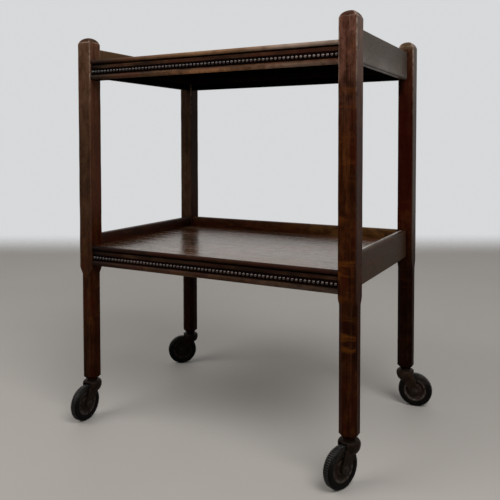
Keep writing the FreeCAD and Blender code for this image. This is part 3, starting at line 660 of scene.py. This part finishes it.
def make_post(corner, side, end, middle):
    """Post with its dome, rubbed arrises, stopped chamfers and leg end"""
    dome_foot = HEIGHT - DOME_RISE
    dome_middle = HEIGHT - DOME_RADIUS
    first_angle = math.asin((dome_foot - dome_middle) / DOME_RADIUS)
    leg_foot = NECK_TOP + LEG_END_CHAMFER
    heights = [LEG_END, NECK_TOP - JOINT] + spread(NECK_TOP, leg_foot, FOOT_ROWS)
    heights += spread(leg_foot, CHAMFER_LOW, LEG_ROWS)[1:]
    heights += spread(CHAMFER_LOW, CHAMFER_HIGH, STOP_ROWS)[1:]
    heights += spread(CHAMFER_HIGH, dome_foot, SHAFT_ROWS)[1:]
    heights += [dome_middle + DOME_RADIUS * math.sin(angle)
                for angle in spread(first_angle, DOME_FLAT, DOME_ROWS)[1:]]
    sections = []
    for height in heights:
        half, radius = POST_HALF, ARRIS_ROUND
        worn = [ARRIS * uneven(POST_HAND, height, side * 3.1 + k, end * 2.3) for k in range(4)]
        if height < NECK_TOP:
            half, cuts = NECK_HALF, [OCTAGON_CUT * NECK_HALF] * 4
        elif height < CHAMFER_LOW:
            inset = max(0, leg_foot - height)
            half -= inset
            cuts = [LEG_CHAMFER - OCTAGON_CUT * inset + LEG_SHARE * (w - ARRIS) for w in worn]
        elif height < CHAMFER_HIGH:
            left = (CHAMFER_HIGH - height) / (CHAMFER_HIGH - CHAMFER_LOW)
            cuts = [max(LEG_CHAMFER * left, w) for w in worn]
        else:
            cuts = worn
        if height > dome_foot:
            half = math.sqrt(DOME_RADIUS ** 2 - (height - dome_middle) ** 2)
            cuts = [min(DOME_SHARE * w, DOME_CUT * half) for w in worn]
            radius = min(radius, DOME_ROUND * half)
        points = eased(post_outline(half, cuts, radius), steps=2)
        # A band at the dome's foot is painted paler, partly as the highlight that falls along it
        crown = WORN_GLINT if dome_foot < height < dome_foot + DOME_RISE / 3 else PLAIN
        sections.append([(middle + Vector((u, v, height)), max(arris, crown)) for u, v, arris in points])
    fit(f"oak_post_{corner}", skin(f"oak_post_{corner}", sections), "frame", "post_oak", [post_oak],
        f"post_{corner}")


# Boards and rails

def make_rail(name, axis, half_length, inner, outer, tier, material, slot, node):
    """Back or end rail of a tier: rounded along the top and the outer foot, raw and painted dark as in shade
    under the board
    """
    board, top = TIERS[tier]
    bottom = top - RAIL_HEIGHT
    # The upper tier's outer foot is paler, partly a painted glint of the pale wall
    foot = WORN_GLINT if tier == "upper" else PLAIN

    def outline_at(station):
        worn = [uneven(RAIL_HAND, station, top * 9, inner * 17 + k) for k in (0.0, 4.2)]
        return eased([
            (outer, bottom, RAIL_FOOT_ROUND, foot), (outer, top, RAIL_ROUND * worn[0], 0.3),
            (inner, top, RAIL_ROUND * worn[1], 1.0),
            (inner, board, 0, PLAIN), (inner, board - BOARD, 0, RAW_SHADE), (inner, bottom, MOULDED, RAW_SHADE)], steps=5)

    sections = along(axis, spread(-half_length, half_length, RAIL_ROWS), outline_at)
    fit(name, skin(name, sections), "frame", slot, [material, raw_oak], node)


def make_board(tier, top):
    """Board with its rounded front edge, let in round the posts"""
    between_posts = CLEAR_WIDTH / 2 - JOINT
    between_rails = WIDTH / 2 - RAIL_INNER - JOINT
    wide = FRONT + NOSING_SETBACK, DEPTH / 2 - RAIL_INNER - JOINT
    narrow = FRONT + POST + JOINT, DEPTH / 2 - POST - JOINT

    def outline(station, reach):
        low, high = reach
        worn = min(NOSING_ROUND * uneven(NOSING_HAND, station, top * 7, 0.5), NOSING_MOST)
        # The nosing is rubbed; the underside is raw and painted dark as in shade
        return eased([
            (low, top - BOARD, worn, RUBBED), (low + 2 * BOARD, top - BOARD, 0, RAW_SHADE),
            (high, top - BOARD, CRISP, RAW_SHADE), (high, top, CRISP),
            (low, top, worn, RUBBED)], steps=5)

    sections = along("X", [-between_rails, -between_posts], lambda s: outline(s, narrow))
    sections += along("X", spread(-between_posts, between_posts, BOARD_ROWS), lambda s: outline(s, wide))
    sections += along("X", [between_posts, between_rails], lambda s: outline(s, narrow))
    name = f"{tier}_shelf"
    mesh = skin(name, sections)
    arris = mesh.attributes["arris"].data
    for face in mesh.polygons:
        if min(arris[k].value for k in face.vertices) > 0.5:
            face.material_index = 2
    fit(name, mesh, "frame", "board_oak", [board_oak, raw_oak, nosing_oak], f"{tier}_board")


def make_front_rail(tier, top):
    """Moulded front rail: recess, frieze, bead channel and rounded lip"""
    recess_low = top - BOARD - RECESS
    frieze_low = recess_low - FRIEZE
    band_low = frieze_low - BEAD_BAND
    lip_low = band_low - LIP
    recess, frieze = FRONT + RECESS_SETBACK, FRONT + FRIEZE_SETBACK
    back = recess + FRONT_RAIL
    half_angle = math.asin(LIP / 2 / LIP_ROUND)

    def outline_at(station):
        worn = [uneven(MOULDING_HAND, station, top * 5, k * 3.7) for k in range(2)]
        lip = []
        for angle in spread(half_angle, -half_angle, 9):
            u = FRONT + LIP_SETBACK + LIP_ROUND - LIP_ROUND * math.cos(angle)
            # The lip's lower half is painted paler, as light bounced from the floor, on top of its wear
            rub_and_bounce = 0.72 - 0.28 * math.sin(angle)
            lip.append((u, (band_low + lip_low) / 2 + LIP_ROUND * math.sin(angle), 0, rub_and_bounce))
        # Recess, frieze and the faces under and behind the rail are painted dark as in shade
        return eased([
            (recess, top - BOARD, SNUG, DEEP_SHADE),
            (recess, recess_low, CUT, DEEP_SHADE),
            (frieze, recess_low, MOULDED * worn[0], SHADED),
            (frieze, frieze_low, MOULDED * worn[1], SHADED),
            (recess, frieze_low, CUT),
            (recess, band_low, CUT),
            *lip,
            (lip[-1][0] + MM, lip_low, 0, RAW_SHADE),
            (back, lip_low, PLANED, RAW_SHADE),
            (back, top - BOARD, SNUG, RAW_SHADE)], steps=3, collar=SMALL_COLLAR)

    sections = along("X", spread(-CLEAR_WIDTH / 2, CLEAR_WIDTH / 2, MOULDING_ROWS), outline_at)
    name = f"{tier}_front_moulding"
    fit(name, skin(name, sections), "frame", "front_rail_oak", [front_oak, raw_oak], f"{tier}_front_rail")


def make_cleats(tier, top):
    """Glue cleats under a board, along the end rails and the back rail"""
    high = top - BOARD
    low = high - CLEAT
    end_half = CLEAR_DEPTH / 2 - CLEAT_END_GAP
    back_half = WIDTH / 2 - RAIL_INNER - CLEAT - CLEAT_END_GAP

    def square(near, far):
        return eased([(near, low, SAWN), (far, low, SAWN), (far, high, SAWN), (near, high, SAWN)], steps=2)

    lofts = []
    for side in (-1, 1):
        edges = sorted((side * (WIDTH / 2 - RAIL_INNER), side * (WIDTH / 2 - RAIL_INNER - CLEAT)))
        lofts.append(along("Y", spread(-end_half, end_half, CLEAT_ROWS), lambda s, e=edges: square(*e)))
    deep = DEPTH / 2 - RAIL_INNER
    lofts.append(along("X", spread(-back_half, back_half, BACK_ROWS), lambda s: square(deep - CLEAT, deep)))
    name = f"{tier}_glue_cleats"
    fit(name, skin(name, *lofts), "frame", "cleat_wood", [cleat_wood], f"{tier}_cleats")


# Beads, laid out by a node tree as the ribs of the tyres are

class Layout(Nodes):
    """Geometry node tree with named inputs"""

    def __init__(self, name, **inputs):
        super().__init__(bpy.data.node_groups.new(name, "GeometryNodeTree"))
        rows = self.tree.interface
        for way in ("OUTPUT", "INPUT"):
            rows.new_socket("Geometry", in_out=way, socket_type="NodeSocketGeometry")
        self.keys = {}
        for key, kind in inputs.items():
            self.keys[key] = rows.new_socket(key, in_out="INPUT", socket_type=f"NodeSocket{kind}").identifier
        self.given = self.add("NodeGroupInput").outputs
        self.result = self.add("NodeGroupOutput").inputs

    def dress(self, copies):
        """Make the copies plain, give them their finish and join them to the mesh that they stand on"""
        real = self.add("GeometryNodeRealizeInstances", (copies,))
        dressed = self.add("GeometryNodeSetMaterial", {
            "Geometry": real.outputs[0], "Material": self.given["Finish"]})
        joined = self.add("GeometryNodeJoinGeometry", (dressed.outputs[0],))
        self.feed(self.given["Geometry"], joined.inputs[0])
        self.feed(joined.outputs[0], self.result[0])

    def grow(self, name, mesh, **values):
        """Plain mesh that the tree makes of a mesh"""
        blank = placed(name, mesh)
        modifier = blank.modifiers.new("Layout", "NODES")
        modifier.node_group = self.tree
        for key, value in values.items():
            modifier[self.keys[key]] = value
        return harvest(blank)


def bead_layout():
    """Row of turned beads along a strip, each a little different in size and flat at its back"""
    lay = Layout("bead_row", Count="Int", Pitch="Float", Diameter="Float", Start="Vector", Finish="Material")
    given = lay.given
    radius = lay.reckon("MULTIPLY", given["Diameter"], 0.5)
    ball = lay.add("GeometryNodeMeshUVSphere", {"Segments": 14, "Rings": 8, "Radius": radius})
    spot = lay.add("ShaderNodeSeparateXYZ", lay.add("GeometryNodeInputPosition").outputs[:1]).outputs
    behind = lay.reckon("MULTIPLY", lay.reckon("MAXIMUM", spot[1], 0.0), -BEAD_FLATNESS)
    shift = lay.add("ShaderNodeCombineXYZ", {"Y": behind}).outputs[0]
    # Crowns are marked for wear; the backs, against the strip, for painted shade
    crown = lay.reckon("DIVIDE", lay.reckon("MULTIPLY", spot[1], -2.0), given["Diameter"])
    marked = lay.add("GeometryNodeStoreNamedAttribute", {
        "Geometry": ball.outputs["Mesh"], "Name": "arris", "Value": crown}, data_type="FLOAT", domain="POINT")
    bead = lay.add("GeometryNodeSetPosition", {"Geometry": marked.outputs[0], "Offset": shift})
    smooth = lay.add("GeometryNodeSetShadeSmooth", (bead.outputs[0],))
    step = lay.add("ShaderNodeCombineXYZ", {"X": given["Pitch"]}).outputs[0]
    line = lay.add("GeometryNodeMeshLine", {"Count": given["Count"], "Start Location": given["Start"],
                                            "Offset": step}, mode="OFFSET", count_mode="TOTAL")
    sizes = lay.add("FunctionNodeRandomValue", {"Seed": 7}, data_type="FLOAT")
    sizes.inputs[2].default_value, sizes.inputs[3].default_value = BEAD_LEAST, 1.0
    row = lay.add("GeometryNodeInstanceOnPoints", {
        "Points": line.outputs[0], "Instance": smooth.outputs[0], "Scale": sizes.outputs[1]})
    lay.dress(row.outputs[0])
    return lay


def make_beads(tier, top, layout):
    """Strip of beads in the channel of a front rail"""
    middle = top - BOARD - RECESS - FRIEZE - BEAD_BAND / 2
    half = BEAD_BAND / 2 - JOINT
    back = FRONT + RECESS_SETBACK
    face = back - BEAD_BACKING
    corners = [(face, middle - half, CRISP), (back, middle - half, SNUG),
               (back, middle + half, SNUG), (face, middle + half, CRISP)]
    reach = CLEAR_WIDTH / 2 - JOINT
    # The strip's face behind the beads is painted dark as in shade
    outline = [(u, v, BACKING_SHADE if u < face + MM else PLAIN)
               for u, v, _ in eased(corners, steps=2, collar=TINY_COLLAR)]
    strip = skin(f"{tier}_bead_strip", along("X", spread(-reach, reach, STRIP_ROWS), lambda s: outline))
    strip.materials.append(channel_oak)
    count = math.floor(CLEAR_WIDTH / BEAD_PITCH)
    start = (-(count - 1) * BEAD_PITCH / 2, face, middle)
    mesh = layout.grow(f"{tier}_beads", strip, Count=count, Pitch=BEAD_PITCH, Diameter=BEAD, Start=start,
                       Finish=bead_oak)
    fit(f"{tier}_beads", mesh, "frame", "bead_oak", (), f"{tier}_bead_moulding")


# Casters

def rib_layout():
    """Fine ribs across the tread, laid round a tyre"""
    lay = Layout("tread_ribs", Count="Int", Radius="Float", Thickness="Float", Length="Float",
                 Finish="Material")
    given = lay.given
    rod = lay.add("GeometryNodeMeshCylinder", {"Vertices": 8, "Radius": given["Thickness"],
                                               "Depth": given["Length"]})
    laid = lay.add("GeometryNodeTransform", {
        "Geometry": rod.outputs["Mesh"], "Rotation": (math.pi / 2, 0, 0),
        "Translation": lay.add("ShaderNodeCombineXYZ", {"Z": given["Radius"]}).outputs[0]})
    smooth = lay.add("GeometryNodeSetShadeSmooth", (laid.outputs[0],))
    spots = lay.add("GeometryNodeMeshLine", {"Count": given["Count"], "Offset": (0, 0, 0)},
                    mode="OFFSET", count_mode="TOTAL")
    share = lay.reckon("DIVIDE", lay.add("GeometryNodeInputIndex").outputs[0], given["Count"])
    turn = lay.add("ShaderNodeCombineXYZ", {"Y": lay.reckon("MULTIPLY", share, math.tau)}).outputs[0]
    ribs = lay.add("GeometryNodeInstanceOnPoints", {
        "Points": spots.outputs[0], "Instance": smooth.outputs[0], "Rotation": turn})
    lay.dress(ribs.outputs[0])
    return lay


def rubbed_edges(mesh):
    """Mark the outward bends of a mesh, so that its finish can wear there"""
    form = bmesh.new()
    form.from_mesh(mesh)
    form.normal_update()
    layer = form.verts.layers.float.new("arris")
    for vert in form.verts:
        edges = vert.link_edges
        mean = sum((edge.other_vert(vert).co for edge in edges), Vector()) / len(edges)
        length = sum(edge.calc_length() for edge in edges) / len(edges)
        vert[layer] = max(-1.0, min(1.0, -(mean - vert.co).dot(vert.normal) / length * 5.0))
    for face in form.faces:
        face.smooth = True
    form.to_mesh(mesh)
    form.free()
    return mesh


def make_horn(corner):
    """Caster horn, its edges softened as in old pressed iron"""
    rough = bmesh.new()
    rough.from_mesh(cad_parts[f"caster_fork_{corner}"].data)
    bmesh.ops.remove_doubles(rough, verts=rough.verts, dist=MM / 1000)
    mesh = bpy.data.meshes.new(f"horn_{corner}")
    rough.to_mesh(mesh)
    rough.free()
    mesh = settled(
        f"horn_{corner}", mesh,
        ("REMESH", {"mode": "VOXEL", "voxel_size": HORN_GRID}),
        ("SMOOTH", {"factor": 0.5, "iterations": 5}))
    fit(f"horn_{corner}", rubbed_edges(mesh), f"caster_{corner}", "horn_iron", [horn_iron],
        f"caster_fork_{corner}")


def make_wheel(corner, matrix, layout):
    """Tyre, dished discs and axle rivet of one caster"""
    bore, edge, tread = DISC_DISH + JOINT, DISC_EDGE + JOINT, WHEEL - RIB / 2
    seat, step = DISC_FACE - DISC_PLATE - JOINT, DISC_RIM - DISC_PLATE - JOINT
    tyre = [(bore, seat, SNUG), (edge, step, SNUG),
            (edge, TYRE_HALF, TYRE_LIP), (tread, TYRE_HALF, TYRE_SHOULDER)]
    tyre += [(radius, -level, rounding) for radius, level, rounding in reversed(tyre)]
    outline = eased(tyre, steps=6, collar=SMALL_COLLAR)
    base = turned(f"tyre_base_{corner}", outline, Matrix.Identity(4), steps=120)
    base.materials.append(tyre_rubber)
    mesh = layout.grow(f"rubber_tyre_{corner}", base, Count=RIB_COUNT, Radius=WHEEL - RIB, Thickness=RIB,
                       Length=2 * (TYRE_HALF - TYRE_SHOULDER / 2), Finish=rib_rubber)
    mesh.transform(matrix)
    fit(f"rubber_tyre_{corner}", mesh, f"wheel_{corner}", "tyre_rubber", (), f"tyre_{corner}")

    boss, behind = DISC_FACE + DISC_RISE, DISC_FACE - DISC_PLATE
    # The rim's rubbed lip is a pale grey, partly a painted highlight
    disc = [(BUSH + JOINT, behind, SNUG, PLAIN), (BUSH + JOINT, boss, CUT, 0.2),
            (DISC_BOSS, boss, DISC_BEND, 0.3), (DISC_BOSS + DISC_SLOPE, DISC_FACE, DISC_HOLLOW, PLAIN),
            (DISC_DISH, DISC_FACE, DISC_SWEEP, PLAIN), (DISC_EDGE - DISC_LIP, DISC_RIM, DISC_BEND, 0.7),
            (DISC_EDGE, DISC_RIM, CUT, 0.4), (DISC_EDGE, DISC_RIM - DISC_PLATE, SNUG, PLAIN),
            (DISC_DISH, behind, SNUG, PLAIN)]
    form = bmesh.new()
    for face in (1, -1):
        corners = [(radius, face * level, *rest) for radius, level, *rest in disc]
        form.from_mesh(turned("disc", eased(corners, collar=DISC_HOLLOW), matrix))
    discs = finished(form, f"discs_{corner}")
    fit(f"discs_{corner}", discs, f"wheel_{corner}", "disc_steel", [disc_steel], f"wheel_discs_{corner}")

    dome = (RIVET_HEAD ** 2 + RIVET_RISE ** 2) / (2 * RIVET_RISE)
    arc = [(dome * math.sin(a), HORN_HALF + RIVET_RISE - dome + dome * math.cos(a), 0.6)
           for a in spread(0, math.asin(RIVET_HEAD / dome), 7)]
    rivet = arc + [(RIVET_SHANK, HORN_HALF, PLAIN)]
    rivet += [(r, -t, a) for r, t, a in reversed(rivet)]
    head = turned(f"rivet_{corner}", rivet, matrix, closed=False, steps=40)
    fit(f"rivet_{corner}", head, f"caster_{corner}", "rivet_steel", [rivet_steel], f"axle_rivet_{corner}")


# The trolley

beads, ribs = bead_layout(), rib_layout()
for corner, (side, end, swivel) in CORNERS.items():
    leg = Vector((side * (WIDTH - POST) / 2, end * (DEPTH - POST) / 2, 0))
    make_post(corner, side, end, leg)
    turn = Matrix.Rotation(math.radians(swivel), 4, "Z")
    make_horn(corner)
    make_wheel(corner, Matrix.Translation(leg) @ turn @ Matrix.Translation((TRAIL, 0, WHEEL)), ribs)
    for piece in ("caster_socket", "caster_stem", "thrust_washer", "wheel_bush"):
        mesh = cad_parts[f"{piece}_{corner}"].data
        mesh.materials.clear()
        mesh.materials.append(fitting_steel)
for tier, (board_top, _) in TIERS.items():
    make_board(tier, board_top)
    make_front_rail(tier, board_top)
    make_beads(tier, board_top, beads)
    make_cleats(tier, board_top)
    deep = DEPTH / 2 - RAIL_INSET
    make_rail(f"{tier}_back_gallery", "X", CLEAR_WIDTH / 2, deep - RAIL, deep, tier, back_oak,
              "back_rail_oak", f"{tier}_back_rail")
    for side, word in ((-1, "left"), (1, "right")):
        inner, outer = side * (WIDTH / 2 - RAIL_INNER), side * (WIDTH / 2 - RAIL_INSET)
        make_rail(f"{tier}_{word}_gallery", "Y", CLEAR_DEPTH / 2, inner, outer, tier, end_oak, "end_rail_oak",
                  f"{tier}_{word}_end_rail")


# Floor, light and camera

# Wall as it is seen and as the trolley mirrors it, the soft light, and the share of it in the room in front
WALL, MIRRORED_WALL = (0.68, 0.69, 0.70), (0.745, 0.725, 0.70)
SKY, SOFT_LIGHT = (0.96, 0.98, 1.0), 0.30
ROOM_SHADE = 0.06

# Floor: its radius, where it fades towards its edge and behind the trolley, and its two tones
FLOOR_RADIUS = 6
FLOOR_FADE, FLOOR_END = (2.4, 4.6), (1.85, 2.65)
FLOOR_TONES = (0.452, 0.419, 0.383), (0.492, 0.458, 0.420)

# Lamps: name, place, diameter and watts, all turned towards one spot
LAMPS = ("window", (1.6, -1.2, 2.5), 1.8, 48), ("room", (-1.4, -1.6, 2.3), 2.0, 26)
LIT_SPOT = Vector((0, 0, 0.4))

# Camera: place, turn to the left of the trolley's depth, pitch, roll, lens in pixels of the image, and shift
CAMERA_PLACE = 0.6222, -1.1677, 0.5680
CAMERA_YAW, CAMERA_PITCH, CAMERA_ROLL = 0.4929, -0.0345, -0.0013
LENS_PIXELS, IMAGE_PIXELS, SHIFT_UP = 626.6, 500, -0.1686


def make_floor():
    """Plain pale floor that fades into the pale surround"""
    form = bmesh.new()
    bmesh.ops.create_circle(form, cap_ends=True, segments=96, radius=FLOOR_RADIUS)
    mesh = bpy.data.meshes.new("floor")
    form.to_mesh(mesh)
    form.free()
    floor = placed("floor", mesh)
    f = Finish("floor_paint")
    distance = f.add("ShaderNodeVectorMath", (f.place,), operation="LENGTH").outputs["Value"]
    across, deep, _ = f.axes()
    behind = f.weigh((across, -math.sin(CAMERA_YAW)), (deep, math.cos(CAMERA_YAW)))
    ends = f.reckon("MAXIMUM", f.level(distance, *FLOOR_FADE), f.level(behind, *FLOOR_END))
    clear = f.add("ShaderNodeBsdfTransparent")
    fade = f.add("ShaderNodeMixShader", (ends, f.shader.outputs[0], clear.outputs[0]))
    f.feed(fade.outputs[0], f.tree.nodes["Material Output"].inputs["Surface"])
    mesh.materials.append(f.done(f.blend(f.grain(3, detail=2), *FLOOR_TONES), 0.6, sheen=0.2))


def make_surround():
    """Pale surround: a light wall behind, a dimmer room in front, and a plain soft light"""
    world = bpy.data.worlds.new("surround")
    world.use_nodes = True
    nodes = Nodes(world.node_tree)

    def glow(colour, strength):
        return nodes.add("ShaderNodeBackground", ((*colour, 1), strength)).outputs[0]

    rays = nodes.add("ShaderNodeLightPath").outputs
    outlook = nodes.add("ShaderNodeTexCoord").outputs["Generated"]
    way = nodes.add("ShaderNodeSeparateXYZ", (outlook,)).outputs
    wall = nodes.level(way["Y"], -0.1, 0.5)
    ceiling = nodes.level(way["Z"], 0.02, 0.4, 0.0, 0.6)
    window = nodes.level(way["X"], -0.35, -0.8, 0.0, 0.6)
    bright = nodes.reckon("MAXIMUM", nodes.reckon("MAXIMUM", wall, window), ceiling)
    mirrored = nodes.add("ShaderNodeMapRange", (bright, 0.0, 1.0, ROOM_SHADE, 1.0)).outputs[0]
    shiny = nodes.reckon("MAXIMUM", rays["Is Glossy Ray"], rays["Is Transmission Ray"])
    surround = nodes.add("ShaderNodeMixShader", (shiny, glow(SKY, SOFT_LIGHT), glow(MIRRORED_WALL, mirrored)))
    surround = nodes.add("ShaderNodeMixShader", (rays["Is Camera Ray"], surround.outputs[0], glow(WALL, 1.0)))
    nodes.feed(surround.outputs[0], nodes.tree.nodes["World Output"].inputs["Surface"])
    bpy.context.scene.world = world


def make_lamp(name, place, size, watts):
    """Broad soft lamp turned towards the trolley"""
    lamp = bpy.data.lights.new(name, "AREA")
    lamp.shape = "DISK"
    lamp.size = size
    lamp.energy = watts
    holder = placed(name, lamp)
    holder.location = place
    holder.rotation_euler = (LIT_SPOT - Vector(place)).to_track_quat("-Z", "Y").to_euler()


def make_camera():
    """Camera at the photograph's height and angle"""
    level = Vector((math.cos(CAMERA_YAW), math.sin(CAMERA_YAW), 0))
    reach, fall = math.cos(CAMERA_PITCH), math.sin(CAMERA_PITCH)
    ahead = Vector((-level.y * reach, level.x * reach, fall))
    rise = level.cross(ahead)
    right = level * math.cos(CAMERA_ROLL) + rise * math.sin(CAMERA_ROLL)
    up = rise * math.cos(CAMERA_ROLL) - level * math.sin(CAMERA_ROLL)
    data = bpy.data.cameras.new("camera")
    data.sensor_width = 36
    data.lens = LENS_PIXELS * data.sensor_width / IMAGE_PIXELS
    data.shift_y = SHIFT_UP
    data.clip_start, data.clip_end = 0.05, 50
    camera = placed("camera", data)
    turn = Matrix((right, up, -ahead)).transposed().to_4x4()
    camera.matrix_world = Matrix.Translation(CAMERA_PLACE) @ turn
    bpy.context.scene.camera = camera


make_floor()
make_surround()
for lamp in LAMPS:
    make_lamp(*lamp)
make_camera()
bpy.context.scene.view_settings.view_transform = "Standard"
